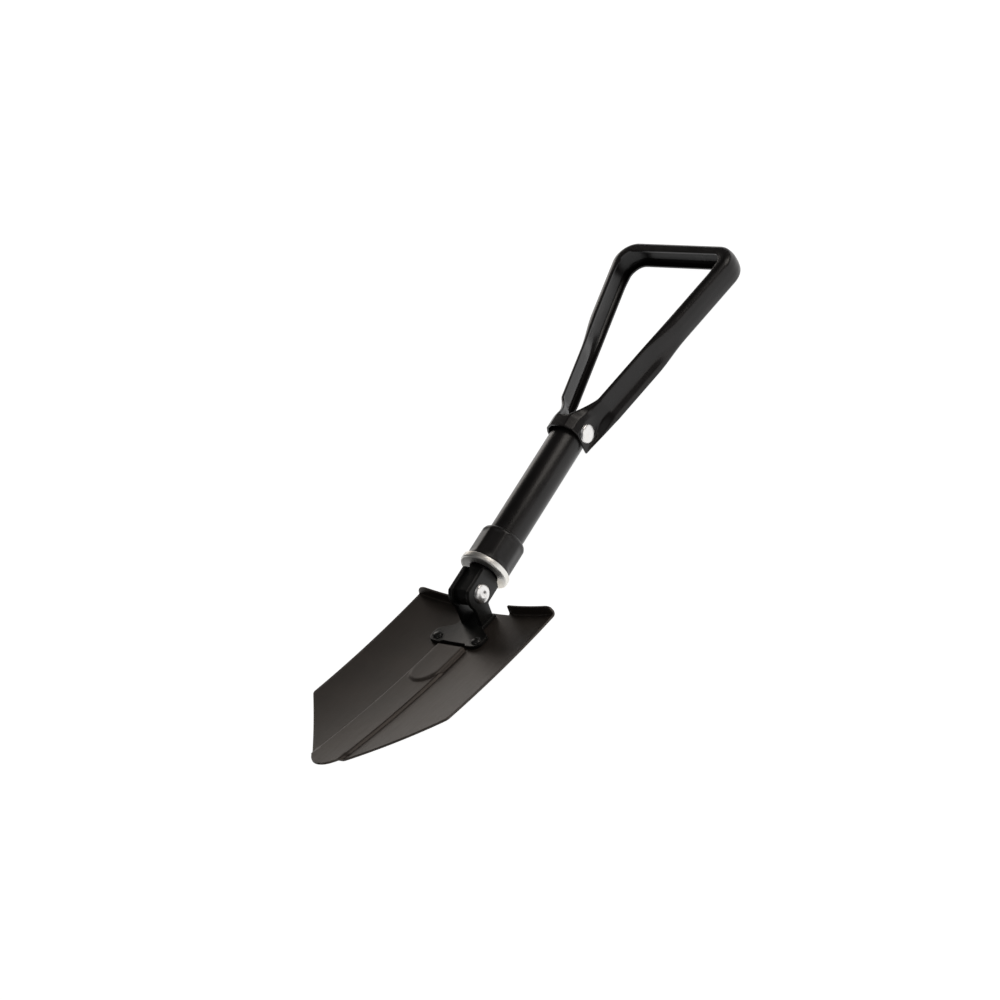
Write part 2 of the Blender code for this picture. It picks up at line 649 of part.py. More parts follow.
def handle_skins():
    """Outer and inner points of the sheet at every station: (stations, points, 3) each."""
    line, out = handle_line()
    section = handle_section(line, 2)
    run = np.gradient(section, axis=1)
    normal = np.stack((-run[..., 1], run[..., 0]), axis=-1)
    normal /= np.linalg.norm(normal, axis=-1, keepdims=True)
    skins = []
    for depth in (0.0, HANDLE_SHEET):
        inward, z = np.moveaxis(section + depth * normal, -1, 0)
        place = line[:, None] - out[:, None] * inward[..., None]
        at_middle = (line[:, 1:] <= WEB_RISE + 1e-6) & (section[..., 0] >= line[:, :1] - 1e-6)
        place[..., 0][at_middle | (np.abs(line[:, :1]) < 1e-7)] = 0.0
        rise = 1 - (1 - WEB_DROP) * ease((z + HANDLE_DEPTH / 2) / HANDLE_DEPTH)
        place[..., 1] *= np.where(place[..., 1] < 0, rise, 1.0)
        skins.append(np.concatenate((place, z[..., None]), axis=-1))
    return skins


def build_handle():
    """A folded channel swept round half the triangle and mirrored; a web ties the arms."""
    shape = bmesh.new()
    outer, inner = ([[shape.verts.new(p) for p in row] for row in skin.tolist()]
                    for skin in handle_skins())
    for a, b, c, d in zip(outer, outer[1:], inner, inner[1:]):
        for k in range(len(a) - 1):
            shape.faces.new((a[k], a[k + 1], b[k + 1], b[k]))
            shape.faces.new((d[k], d[k + 1], c[k + 1], c[k]))
        shape.faces.new((b[-1], a[-1], c[-1], d[-1]))
        if max(abs(v.co.x) for v in (a[0], b[0], c[0], d[0])) > 1e-7:
            shape.faces.new((a[0], b[0], d[0], c[0]))
    last, under = outer[-1], inner[-1]
    for k in range(len(last) - 1):
        shape.faces.new((last[k], last[k + 1], under[k + 1], under[k]))
    bmesh.ops.recalc_face_normals(shape, faces=shape.faces)
    made = add("handle", mesh_from(shape, "handle"), TUBE_BLACK, (0, PIVOT_SPAN, 0))
    mirror = made.modifiers.new("mirror", "MIRROR")
    mirror.merge_threshold = 0.00002
    combine(made, peg("handle_bore", PIN_R + RUN, -0.03, 0.03, (1, 0, 0), (0, PIVOT_SPAN, 0)),
            "DIFFERENCE")
    return made


# ---- the shovel ----
for old in list(bpy.data.objects):
    bpy.data.objects.remove(old, do_unlink=True)

PARTS = collection("Camp_Shovel")
CUTTERS = collection("Cutters")
root = bpy.data.objects.new("shovel_frame", None)
PARTS.objects.link(root)

BLADE_BLACK = material("blade_black", (0.030, 0.025, 0.021), 0.45, 0.3)
BRACKET_BLACK = material("bracket_black", (0.016, 0.015, 0.015), 0.38, 0.3)
KNUCKLE_BLACK = material("knuckle_black", (0.016, 0.015, 0.015), 0.38, 0.3)
TUBE_BLACK = material("tube_black", (0.011, 0.011, 0.012), 0.28, 0.2)
NUT_BLACK = material("nut_black", (0.013, 0.012, 0.012), 0.33, 0.1)
PLUG_BLACK = material("plug_black", (0.020, 0.020, 0.020), 0.6, 0.0)
RING_ZINC = material("ring_zinc", (0.62, 0.60, 0.54), 0.32, 1.0)
RIVET_STEEL = material("rivet_steel", (0.60, 0.60, 0.60), 0.30, 1.0)

build_blade()
build_bracket()
build_foot_rivets()
build_pins()
build_knuckle()
build_tube()
build_thread()
build_ring()
build_nut()
build_handle()


def lay_down():
    """Turn the shovel so its heel and its grip touch the ground, with the origin below it."""
    bpy.context.view_layer.update()
    depsgraph = bpy.context.evaluated_depsgraph_get()
    clouds = {}
    for made in PARTS.objects:
        if made.type == "MESH":
            seen = made.evaluated_get(depsgraph)
            clouds[made.name] = [seen.matrix_world @ v.co for v in seen.data.vertices]
    tilt = 0.0
    for _ in range(4):
        turn = Matrix.Rotation(tilt, 3, "X")
        heel = min((turn @ p for p in clouds["blade"]), key=lambda p: p.z)
        grip = min((turn @ p for p in clouds["handle"]), key=lambda p: p.z)
        tilt -= math.atan2(grip.z - heel.z, grip.y - heel.y)
    turn = Matrix.Rotation(tilt, 3, "X")
    cloud = [turn @ p for points in clouds.values() for p in points]
    low, high = min(p.y for p in cloud), max(p.y for p in cloud)
    root.rotation_euler.x = tilt
    root.location = (0, -(low + high) / 2, -min(p.z for p in cloud))


lay_down()
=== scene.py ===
# %% [markdown]
# # A folding camp shovel
#
# This lesson dresses a finished mechanical model of a camp shovel. The model comes first: it
# knows where every pin and pivot is, and the pieces made here are put round it. Each piece is a
# surface worked out with numpy from a formula, and each finish is a small set of shader nodes.
#
# We load the model before anything else, and read the boxes of its parts from it. Whatever we add
# has to stay inside it.

import json
import math

import bmesh
import bpy
import numpy as np
from mathutils import Matrix, Vector


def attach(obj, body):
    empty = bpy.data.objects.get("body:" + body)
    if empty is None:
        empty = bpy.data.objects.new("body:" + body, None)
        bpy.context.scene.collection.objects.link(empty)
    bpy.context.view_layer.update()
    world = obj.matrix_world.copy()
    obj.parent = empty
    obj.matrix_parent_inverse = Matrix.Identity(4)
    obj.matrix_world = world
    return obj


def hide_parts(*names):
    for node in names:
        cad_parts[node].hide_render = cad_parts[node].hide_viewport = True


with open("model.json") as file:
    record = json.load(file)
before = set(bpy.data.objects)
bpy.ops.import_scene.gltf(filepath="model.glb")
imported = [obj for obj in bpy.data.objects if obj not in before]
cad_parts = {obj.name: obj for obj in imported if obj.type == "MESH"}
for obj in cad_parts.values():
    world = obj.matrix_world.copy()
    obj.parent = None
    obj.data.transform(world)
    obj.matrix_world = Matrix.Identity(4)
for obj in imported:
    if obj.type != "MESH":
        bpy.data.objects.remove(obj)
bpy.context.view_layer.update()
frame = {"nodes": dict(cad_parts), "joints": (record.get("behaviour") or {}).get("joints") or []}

# %% [markdown]
# ## The shovel's own axes
#
# The shovel lies on its back, tipped a couple of degrees, so world axes are awkward to model in.
# Its own axes are easier: zero at the blade's pivot, x across the blade, y up the tube and z out
# of the dished face. The record's joints say where those axes lie in the world.

# %% Read the axes from the joints
joints = {joint["name"]: joint for joint in frame["joints"]}
blade_pivot = np.array(joints["blade_fold"]["pos_m"])
up_the_tube = np.array(joints["ring_slide"]["axis"])
across = np.array((1.0, 0.0, 0.0))
own_axes = np.array((across, up_the_tube, np.cross(across, up_the_tube)))
PIVOT_SPAN = float(np.linalg.norm(np.array(joints["handle_fold"]["pos_m"]) - blade_pivot))


def in_the_world(points):
    """World point = pivot + x * across + y * up the tube + z * front."""
    return blade_pivot + points @ own_axes


def own_box(node):
    """Lowest and highest corner of one of the model's nodes, in the shovel's own axes."""
    mesh = frame["nodes"][node].data
    flat = np.empty(3 * len(mesh.vertices))
    mesh.vertices.foreach_get("co", flat)
    points = (flat.reshape(-1, 3) - blade_pivot) @ own_axes.T
    return points.min(axis=0), points.max(axis=0)


print(f"the pivots are {PIVOT_SPAN * 1000:.1f} mm apart")

# %% [markdown]
# ## From a grid of points to a mesh
#
# A surface with two parameters is a grid of points. Its faces follow from the grid's shape alone,
# so one function builds them for every piece. A grid may close on itself, as a turned part does.

# %% Grid faces and meshes
MERGE = 1e-6


def grid_faces(rows, columns, closed=False):
    """Quads (i, j), (i, j+1), (i+1, j+1), (i+1, j), with j counted round where it is closed."""
    index = np.arange(rows * columns).reshape(rows, columns)
    if closed:
        index = np.concatenate((index, index[:, :1]), axis=1)
    corners = (index[:-1, :-1], index[:-1, 1:], index[1:, 1:], index[1:, :-1])
    return np.stack(corners, axis=-1).reshape(-1, 4)


def mesh_of(name, points, faces):
    """A mesh with doubles merged, loose points dropped and its faces turned outwards."""
    mesh = bpy.data.meshes.new(name)
    mesh.from_pydata(in_the_world(points.reshape(-1, 3)).tolist(), [], [list(f) for f in faces])
    work = bmesh.new()
    work.from_mesh(mesh)
    bmesh.ops.remove_doubles(work, verts=work.verts, dist=MERGE)
    bmesh.ops.dissolve_degenerate(work, edges=work.edges, dist=MERGE)
    bmesh.ops.delete(work, geom=[v for v in work.verts if not v.link_faces], context="VERTS")
    bmesh.ops.recalc_face_normals(work, faces=work.faces)
    work.to_mesh(mesh)
    work.free()
    return mesh


def piece_of(name, mesh, finish, body, nodes=(), smooth_below=math.radians(38)):
    """Put a mesh in the scene as a piece that rides on a body."""
    made = bpy.data.objects.new(name, mesh)
    bpy.context.scene.collection.objects.link(made)
    mesh.polygons.foreach_set("use_smooth", [True] * len(mesh.polygons))
    mesh.set_sharp_from_angle(angle=smooth_below)
    mark_edges(mesh)
    mesh.materials.append(finish)
    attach(made, body)
    if nodes:
        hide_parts(*nodes)
    print(f"{name}: {len(mesh.polygons)} faces, on {body}")


# %% [markdown]
# ## Where paint wears first
#
# Paint wears off the sharp outer edges of a tool. A point on such an edge stands proud of its
# neighbours, so we measure how far each neighbour falls away behind the point's own tangent
# plane. The result goes into an attribute that the paint's nodes can read.

# %% Mark the proud edges
EDGE_GAIN = 3.2


def mark_edges(mesh):
    """Edge value = mean over the neighbours of normal . (point - neighbour) / distance."""
    count = len(mesh.vertices)
    place, normal = np.empty(count * 3), np.empty(count * 3)
    mesh.vertices.foreach_get("co", place)
    mesh.vertex_normals.foreach_get("vector", normal)
    place, normal = place.reshape(-1, 3), normal.reshape(-1, 3)
    ends = np.empty(2 * len(mesh.edges), dtype=np.int32)
    mesh.edges.foreach_get("vertices", ends)
    start, stop = ends.reshape(-1, 2).T
    away = place[start] - place[stop]
    away /= np.maximum(np.linalg.norm(away, axis=1, keepdims=True), MERGE)
    total = np.zeros(count)
    np.add.at(total, start, np.einsum("ij,ij->i", normal[start], away))
    np.add.at(total, stop, -np.einsum("ij,ij->i", normal[stop], away))
    share = total / np.maximum(np.bincount(ends, minlength=count), 1)
    kept = mesh.attributes.new("edge", "FLOAT", "POINT")
    kept.data.foreach_set("value", np.clip(share * EDGE_GAIN, 0, 1).astype(np.float32))


def finished(mesh, *modifiers):
    """The mesh with modifiers applied: each is a kind and its settings."""
    work = bpy.data.objects.new("work", mesh)
    bpy.context.scene.collection.objects.link(work)
    for kind, settings in modifiers:
        step = work.modifiers.new(kind.lower(), kind)
        for key, value in settings.items():
            setattr(step, key, value)
    bpy.context.view_layer.update()
    graph = bpy.context.evaluated_depsgraph_get()
    made = bpy.data.meshes.new_from_object(work.evaluated_get(graph))
    made.name = mesh.name
    bpy.data.objects.remove(work)
    bpy.data.meshes.remove(mesh)
    return made


# %% [markdown]
# ## Shader sums as Python sums
#
# Shader graphs get long because each sum is a node. Here a socket is wrapped in a small class, so
# that `clouds * 0.06 + 0.2` adds its own Math nodes. Colours don't go through it, because a Math node
# would turn them grey: they are blended with a Mix node instead.

# %% The wrapped socket and the paint box
class Value:
    """A number that varies over a surface."""

    def __init__(self, paint, socket):
        self.paint = paint
        self.socket = socket

    def maths(self, operation, other):
        return self.paint.node("ShaderNodeMath", {"operation": operation}, {0: self, 1: other})

    def __add__(self, other):
        return self.maths("ADD", other)

    def __mul__(self, other):
        return self.maths("MULTIPLY", other)

    __radd__ = __add__
    __rmul__ = __mul__

    def rise(self, low, high):
        """0 below low, 1 above high and a smooth step between them."""
        settings = {"interpolation_type": "SMOOTHSTEP"}
        inputs = {"Value": self, "From Min": low, "From Max": high}
        return self.paint.node("ShaderNodeMapRange", settings, inputs, output="Result")


class Paint:
    """A material whose nodes are added by one method."""

    def __init__(self, name, colour, roughness, metallic, **constants):
        self.material = bpy.data.materials.new(name)
        self.material.use_nodes = True
        self.tree = self.material.node_tree
        self.shader = self.tree.nodes["Principled BSDF"]
        self.put("Base Color", (*colour, 1))
        self.put("Roughness", roughness)
        self.put("Metallic", metallic)
        for socket, value in constants.items():
            self.put(socket.replace("_", " "), value)
        self.place = self.node("ShaderNodeTexCoord", output="Object")

    def put(self, socket, value):
        """Set a socket of the shader to a number or colour, or link a value to it."""
        self.fill(self.shader.inputs[socket], value)

    def fill(self, socket, value):
        if isinstance(value, Value):
            self.tree.links.new(value.socket, socket)
        else:
            socket.default_value = value

    def node(self, kind, settings=None, inputs=None, output=0):
        """Any node: its settings first, then the values or links of its sockets."""
        made = self.tree.nodes.new(kind)
        for key, value in (settings or {}).items():
            setattr(made, key, value)
        for key, value in (inputs or {}).items():
            self.fill(made.inputs[key], value)
        return Value(self, made.outputs[output])

    def noise(self, scale, detail=2.0, stretch=(1, 1, 1), roughness=0.5):
        """Noise over object coordinates, stretched by a scale along each axis."""
        where = self.node("ShaderNodeMapping", {}, {"Vector": self.place, "Scale": stretch})
        inputs = {"Vector": where, "Scale": scale, "Detail": detail, "Roughness": roughness}
        return self.node("ShaderNodeTexNoise", {}, inputs, output="Fac")

    def edge(self):
        """The proud edges that mark_edges found."""
        return self.node("ShaderNodeAttribute", {"attribute_name": "edge"}, output="Fac")

    def blend(self, share, first, second):
        """A colour between two others."""
        inputs = {0: share, 6: first, 7: second}
        return self.node("ShaderNodeMix", {"data_type": "RGBA"}, inputs, output=2)

    def bump(self, height, distance, strength=1.0):
        """Small relief from a height between 0 and 1, distance metres deep."""
        inputs = {"Height": height, "Distance": distance, "Strength": strength}
        self.put("Normal", self.node("ShaderNodeBump", {}, inputs))


# %% [markdown]
# ## Powder coat
#
# The tube, the handle and the hinge are powder coated steel. Powder coat is a thick black film
# with a fine orange-peel skin. It is thin on the edges, where the steel shows through first, and
# it collects faint rub marks. One function makes all the coats, from a colour and a few numbers.

# %% Coated finishes
STEEL = (0.46, 0.44, 0.42, 1)


def coat(name, colour, roughness, peel, wear, shine=0.35, metallic=0.0, cloud=0.25):
    """Black coating: clouded colour, orange peel bump, and edges worn towards steel."""
    paint = Paint(name, colour, roughness, metallic, Specular_IOR_Level=shine)
    clouds = paint.noise(38, detail=4)
    specks = paint.noise(900, detail=2)
    lighter = tuple(channel * (1 + 2 * cloud) for channel in colour) + (1,)
    darker = tuple(channel * (1 - cloud) for channel in colour) + (1,)
    ground = paint.blend(clouds.rise(0.3, 0.7), darker, lighter)
    chipped = (paint.edge() * 1.1 + specks * 0.55 + clouds * 0.3).rise(wear, wear + 0.25)
    paint.put("Base Color", paint.blend(chipped, ground, STEEL))
    paint.put("Metallic", chipped * (1 - metallic) + metallic)
    rubbed = paint.noise(60, detail=5, stretch=(3.5, 0.5, 3.5))
    paint.put("Roughness", rubbed * 0.14 + clouds * 0.06 + (roughness - 0.1))
    paint.bump(paint.noise(1500, detail=1) * 0.6 + specks * 0.4, peel)
    return paint


tube_black = coat("tube_black_coat", (0.007, 0.006, 0.006), 0.30, 0.00006, 1.06)
hinge_black = coat("hinge_black_coat", (0.006, 0.006, 0.0055), 0.36, 0.00006, 1.10)
nut_black = coat("nut_black_coat", (0.008, 0.007, 0.007), 0.34, 0.00005, 1.20)
print("coats:", tube_black.material.name, hinge_black.material.name, nut_black.material.name)

# %% [markdown]
# ## The blade's finish
#
# The blade has a thinner, browner coating than the tube, with the pressing's fine lengthwise
# draw lines under it. It is satin: light spreads wide along it. The coating is brown enough to
# tint the light it throws back, which a little metallic does.

# %% Blade finish
blade_brown = Paint("blade_brown_coat", (0.042, 0.033, 0.027), 0.46, 0.45)
draw_lines = blade_brown.noise(420, detail=3, stretch=(1.0, 0.045, 0.3))
mottle = blade_brown.noise(26, detail=5)
grain = blade_brown.noise(1300, detail=2)
brown = blade_brown.blend(mottle.rise(0.25, 0.75), (0.035, 0.028, 0.023, 1), (0.049, 0.039, 0.032, 1))
rubbed_edge = (blade_brown.edge() * 0.9 + grain * 0.6 + mottle * 0.4).rise(1.0, 1.35)
blade_brown.put("Base Color", blade_brown.blend(rubbed_edge, brown, (0.20, 0.18, 0.16, 1)))
blade_brown.put("Roughness", 0.40 + draw_lines * 0.08 + mottle * 0.06)
blade_brown.bump(draw_lines * 0.35 + grain * 0.65, 0.00005)
print("blade finish:", blade_brown.material.name)

# %% [markdown]
# ## Plated metal
#
# The pressure ring is zinc plated and was turned on a lathe, so fine grooves run round it. The
# rivets are bright nickel with a few rub marks. Both are full metals: their colour is what they
# mirror, and roughness decides how sharp that is.

# %% Plated finishes
def plated(name, colour, roughness, groove_scale, groove_stretch, dull):
    """Bright plating: grooves in the bump, a clouded shine and a warm film here and there."""
    paint = Paint(name, colour, roughness, 1.0)
    film = paint.noise(55, detail=4)
    grooves = paint.noise(groove_scale, detail=2, stretch=groove_stretch)
    warmer = (colour[0] * 0.86, colour[1] * 0.80, colour[2] * 0.70, 1)
    paint.put("Base Color", paint.blend(film.rise(0.45, 0.8) * dull, (*colour, 1), warmer))
    paint.put("Roughness", roughness + film * 0.16 + grooves * 0.06)
    paint.bump(grooves, 0.00004)
    return paint


zinc = plated("ring_zinc_plate", (0.80, 0.79, 0.76), 0.30, 500, (0.10, 2.6, 0.10), 0.8)
nickel = plated("rivet_nickel", (0.82, 0.81, 0.80), 0.22, 700, (1.0, 1.0, 1.0), 0.4)
plug_black = coat("plug_moulded_black", (0.020, 0.020, 0.020), 0.62, 0.00010, 2.0)
print("plated:", zinc.material.name, nickel.material.name)

# %% [markdown]
# ## Turned pieces
#
# The tube, nut, ring, rivets and plugs are all round, so each is a profile carried round an axis.
# Real corners are never sharp, and a small round on each one catches the light as a thin line.

# %% Profiles and turning
CUT_LIMIT = 0.45


def softened(corners, radius, steps=4):
    """Each inner corner is cut back by radius and bridged by a quadratic curve.

    The last two axes are the line's corners and their coordinates, so that a stack of lines
    softens in one go. A cut takes at most CUT_LIMIT of the stretch that it is on.
    """
    corners = np.asarray(corners, dtype=float)
    before, here, after = corners[..., :-2, :], corners[..., 1:-1, :], corners[..., 2:, :]
    towards, onwards = before - here, after - here
    back = np.linalg.norm(towards, axis=-1, keepdims=True)
    ahead = np.linalg.norm(onwards, axis=-1, keepdims=True)
    start = (here + towards / back * np.minimum(radius, back * CUT_LIMIT))[..., None, :]
    end = (here + onwards / ahead * np.minimum(radius, ahead * CUT_LIMIT))[..., None, :]
    t = np.linspace(0, 1, steps + 1)[:, None]
    curve = (1 - t) ** 2 * start + 2 * t * (1 - t) * here[..., None, :] + t ** 2 * end
    curve = curve.reshape(*corners.shape[:-2], -1, 2)
    return np.concatenate((corners[..., :1, :], curve, corners[..., -1:, :]), axis=-2)


def turned(profile, steps=96, ripple=None):
    """Point = (r cos a, height, r sin a), for a profile of (r, height); ripple changes r."""
    angle = np.linspace(0, math.tau, steps, endpoint=False)
    radius, height = (column[:, None] for column in np.asarray(profile).T)
    radius = radius + (ripple(radius, height, angle) if ripple else 0 * angle)
    rows = (radius * np.cos(angle), height + 0 * angle, radius * np.sin(angle))
    return np.stack(rows, axis=-1)


def turned_mesh(name, profile, steps=96, ripple=None, place=None):
    """The closed mesh of a turned profile; place moves it in the shovel's own axes."""
    points = turned(profile, steps, ripple)
    points = points if place is None else place(points)
    return mesh_of(name, points, grid_faces(*points.shape[:2], closed=True))


# %% [markdown]
# ## Tube
#
# The tube is thin steel, open at both ends. Its profile goes up the outside, over the rim, down
# the bore and back to the start, so that the wall is a closed solid.

# %% Tube and its end plug
ROUND = 0.0005
WALL = 0.0015
GAP = 0.0003    # between pieces that touch
RUN = 0.0004    # between pieces that turn
low, high = own_box("shaft_tube")
TUBE_R, TUBE_LOW, TUBE_HIGH = float(high[0]), float(low[1]), float(high[1])
bore = TUBE_R - WALL
middle = (TUBE_LOW + TUBE_HIGH) / 2
tube_line = [(TUBE_R, middle), (TUBE_R, TUBE_HIGH), (bore, TUBE_HIGH), (bore, TUBE_LOW),
             (TUBE_R, TUBE_LOW), (TUBE_R, middle)]
piece_of("shaft_tube_skin", turned_mesh("tube", softened(tube_line, ROUND)),
         tube_black.material, "shaft", ["shaft_tube"])

low, high = own_box("tube_end_plug")
rim = float(high[0])
plug_rest = TUBE_HIGH + GAP
plug_line = [(0, high[1]), (rim * 0.55, high[1] - 0.0003), (rim * 0.9, plug_rest + ROUND),
             (rim, plug_rest), (bore - GAP, plug_rest), (bore - GAP, low[1]), (0, low[1])]
piece_of("tube_end_plug_cap", turned_mesh("plug", softened(plug_line, ROUND), 64),
         plug_black.material, "shaft", ["tube_end_plug"])

# %% [markdown]
# ## Screw lock
#
# A nut climbs a thread on the tube and pushes a plated ring onto the hinge. The thread is a real
# helix: its height depends on how far the angle and the height together are through one pitch.
# The nut's wall is scooped by eight shallow flutes for grip.

# %% Sleeve, nut and ring
low, high = own_box("threaded_sleeve")
SLEEVE_LOW, SLEEVE_HIGH, CREST_R = float(low[1]), float(high[1]), float(high[0])
THREAD_DEPTH = 0.0012
PITCH = 0.0035
SLEEVE_R = TUBE_R + 0.0002


def thread(radius, height, angle):
    """Depth below the crest by a trapezoid wave of height / pitch - angle / turn."""
    phase = (height / PITCH - angle / math.tau) % 1.0
    flank = np.clip(4 * np.abs(phase - 0.5) - 0.5, 0, 1)
    return np.where(radius > CREST_R - MERGE, -THREAD_DEPTH * flank, 0 * angle)


heights = np.linspace(SLEEVE_LOW, SLEEVE_HIGH, 96)
outside = np.stack((CREST_R + 0 * heights, heights), axis=1)
inside = [(SLEEVE_R, SLEEVE_HIGH), (SLEEVE_R, SLEEVE_LOW), (CREST_R, SLEEVE_LOW)]
piece_of("threaded_sleeve_helix",
         turned_mesh("sleeve", np.concatenate((outside, inside)), 72, thread),
         hinge_black.material, "shaft", ["threaded_sleeve"])

low, high = own_box("locking_nut")
NUT_R, NUT_LOW, NUT_HIGH = float(high[0]), float(low[1]), float(high[1])
FLUTES, FLUTE_DEPTH = 8, 0.0009


def flutes(radius, height, angle):
    """Scoops that fade out at the nut's two ends: depth * (1 - cos(8 a)) / 2, sharpened."""
    scoop = ((1 - np.cos(FLUTES * angle)) / 2) ** 0.7
    along = np.clip((height - NUT_LOW - 0.0016) / 0.0026, 0, 1)
    along = along * np.clip((NUT_HIGH - 0.0030 - height) / 0.0030, 0, 1)
    return np.where(radius > NUT_R - 0.0004, -FLUTE_DEPTH * scoop * along, 0 * angle)


bore = CREST_R + RUN
lip = TUBE_R + RUN
wall = np.linspace(NUT_LOW + 0.0012, NUT_HIGH - 0.0034, 24)
nut_outer = [(bore, NUT_LOW), (NUT_R - 0.0006, NUT_LOW), (NUT_R, NUT_LOW + 0.0007)]
nut_outer += [(NUT_R, height) for height in wall]
nut_outer += [(NUT_R - 0.0008, NUT_HIGH - 0.0016), (NUT_R - 0.0024, NUT_HIGH - 0.0005),
              (lip + 0.0006, NUT_HIGH), (lip, NUT_HIGH - 0.0004), (lip, NUT_HIGH - 0.0025),
              (bore, NUT_HIGH - 0.0040), (bore, NUT_LOW)]
piece_of("locking_nut_fluted", turned_mesh("nut", nut_outer, 192, flutes),
         nut_black.material, "nut", ["locking_nut"])

low, high = own_box("pressure_ring")
RING_R = float(high[0])
RING_HOLE, RING_BEVEL = 0.0130, 0.0009
middle = (low[1] + high[1]) / 2
ring_line = [(RING_HOLE, middle), (RING_HOLE, low[1]), (RING_R - RING_BEVEL, low[1]),
             (RING_R, low[1] + RING_BEVEL), (RING_R, high[1] - RING_BEVEL),
             (RING_R - RING_BEVEL, high[1]), (RING_HOLE, high[1]), (RING_HOLE, middle)]
piece_of("pressure_ring_turned", turned_mesh("ring", softened(ring_line, ROUND), 160),
         zinc.material, "ring", ["pressure_ring"])

# %% [markdown]
# ## Rivets
#
# A pivot rivet's head is domed with a dimple where the riveting tool turned. Each rivet is one
# profile from one head, down its shank, to the other, turned about the x axis instead of the tube.

# %% Pivot rivets and cross pin
def lying_across(height):
    """Turn a piece so that its axis lies along x, at a height up the tube."""
    def place(points):
        return points[..., (1, 0, 2)] + np.array((0, height, 0))
    return place


HEAD_HEIGHT, HEAD_RIM, SHANK_R = 0.0034, 0.0009, 0.0040


def rivet_profile(node, dimple):
    """Half a pivot rivet from its middle out to the dimple, mirrored to both ends."""
    low, high = own_box(node)
    head = float(high[1] - low[1]) / 2
    reach = float(high[0])
    under = reach - HEAD_HEIGHT
    t = np.linspace(0, 1, 14)
    dome_r = head * 0.97 * np.cos(t * math.pi / 2)
    dome_h = under + HEAD_RIM + (HEAD_HEIGHT - HEAD_RIM) * np.sin(t * math.pi / 2) ** 0.75
    dome_h = dome_h - dimple * (1 - np.clip(dome_r / (head * 0.34), 0, 1) ** 2)
    dome = np.stack((dome_r, dome_h), axis=1)
    half = np.concatenate(([(SHANK_R, 0), (SHANK_R, under), (head * 0.94, under),
                            (head, under + 0.0005)], dome, [(0, dome_h[-1])]))
    return np.concatenate(((half * (1, -1))[::-1], half[1:]))


for node, height, dimple in (("blade_pivot_rivet", 0.0, 0.0011),
                             ("handle_pivot_rivet", PIVOT_SPAN, 0.0003)):
    made = turned_mesh(node, rivet_profile(node, dimple), 64, place=lying_across(height))
    piece_of(node + "_domed", made, nickel.material, "shaft", [node])

low, high = own_box("knuckle_cross_pin")
pin_r, reach = float(high[2] - low[2]) / 2, float(high[0])
pin_line = [(0, -reach), (pin_r, -reach), (pin_r, reach), (0, reach)]
piece_of("knuckle_cross_pin_turned",
         turned_mesh("pin", softened(pin_line, 0.0004), 32,
                     place=lying_across(float(low[1] + high[1]) / 2)),
         nickel.material, "shaft", ["knuckle_cross_pin"])

# %% [markdown]
# ## Blade
#
# The blade is one pressed sheet. Seen from the front it is a wide board with a blunt point. In
# section it is a shallow dish, with a raised rib down the middle and a raised pad under the
# bracket's foot. All of that is one height over a flat plan: dish + the higher of pad and rib.

# %% Blade's plan and height
BLADE_WIDTH, BLADE_LENGTH, BLADE_SIDE = 0.150, 0.212, 0.137
BLADE_SHEET = 0.0018
BLADE_LIFT = math.radians(17.6)
CROSS_DISH, LENGTH_DISH = 0.0077, 0.0046
POINT_RADIUS = 0.015
STEP_HEIGHT, STEP_GAP, STEP_BEND, STEP_BACK = 0.0085, 0.049, 0.0022, 0.0092
STEP_CORNER, STEP_CORNER_DROP = 0.009, 0.8
RIB_WIDTH, RIB_HEIGHT, RIB_START = 0.032, 0.0020, 0.066
PAD_WIDTH, PAD_HEIGHT, PAD_END = 0.029, 0.0032, 0.086
PRESS_SLOPE = 0.0030
PIVOT_HEIGHT = 0.030
FOOT_LENGTH, FOOT_WIDTH, FOOT_SHEET = 0.0375, 0.056, 0.0030
PAD_START, PAD_RISE = FOOT_LENGTH + 0.0006, 0.0020
HALF_BLADE = BLADE_WIDTH / 2
HEEL = -STEP_BACK + STEP_BEND / 2
SHOULDER = -STEP_BACK + BLADE_SIDE
POINT = -STEP_BACK + BLADE_LENGTH
along_blade = np.array((0, -math.cos(BLADE_LIFT), math.sin(BLADE_LIFT)))
out_of_blade = np.array((0, math.sin(BLADE_LIFT), math.cos(BLADE_LIFT)))


def smooth(t):
    """3 t^2 - 2 t^3 between 0 and 1."""
    t = np.clip(t, 0, 1)
    return t * t * (3 - 2 * t)


def half_width(l):
    """Straight sides, then straight edges that meet the round point's circle tangentially."""
    centre = POINT - POINT_RADIUS
    reach = centre - SHOULDER
    slope = math.atan2(HALF_BLADE, reach)
    slope -= math.asin(POINT_RADIUS / math.hypot(HALF_BLADE, reach))
    meet = centre + POINT_RADIUS * math.sin(slope)
    edge = HALF_BLADE - (l - SHOULDER) * math.tan(slope)
    tip = np.sqrt(np.clip(POINT_RADIUS ** 2 - (l - centre) ** 2, 0, None))
    return np.where(l <= SHOULDER, HALF_BLADE, np.where(l <= meet, edge, tip))


def pressed(x, l):
    """The higher of a round-ended pad and a long rib, each with a smooth edge."""
    from_line = np.hypot(np.clip(l - (PAD_END - PAD_WIDTH / 2), 0, None), x)
    pad = PAD_HEIGHT * smooth((PAD_WIDTH / 2 - from_line) / PRESS_SLOPE + 0.5)
    pad = pad * smooth((l - PAD_START) / PAD_RISE)
    rib = RIB_HEIGHT * smooth((RIB_WIDTH / 2 - np.abs(x)) / PRESS_SLOPE + 0.5)
    return np.maximum(pad, rib * smooth((l - RIB_START) / (2 * PRESS_SLOPE)))


def dish(x, l):
    """A parabola across, a shallower one along, and what is pressed up."""
    along = (l + STEP_BACK - 0.45 * BLADE_LENGTH) / (BLADE_LENGTH / 2)
    return CROSS_DISH * (x / HALF_BLADE) ** 2 + LENGTH_DISH * along ** 2 + pressed(x, l)


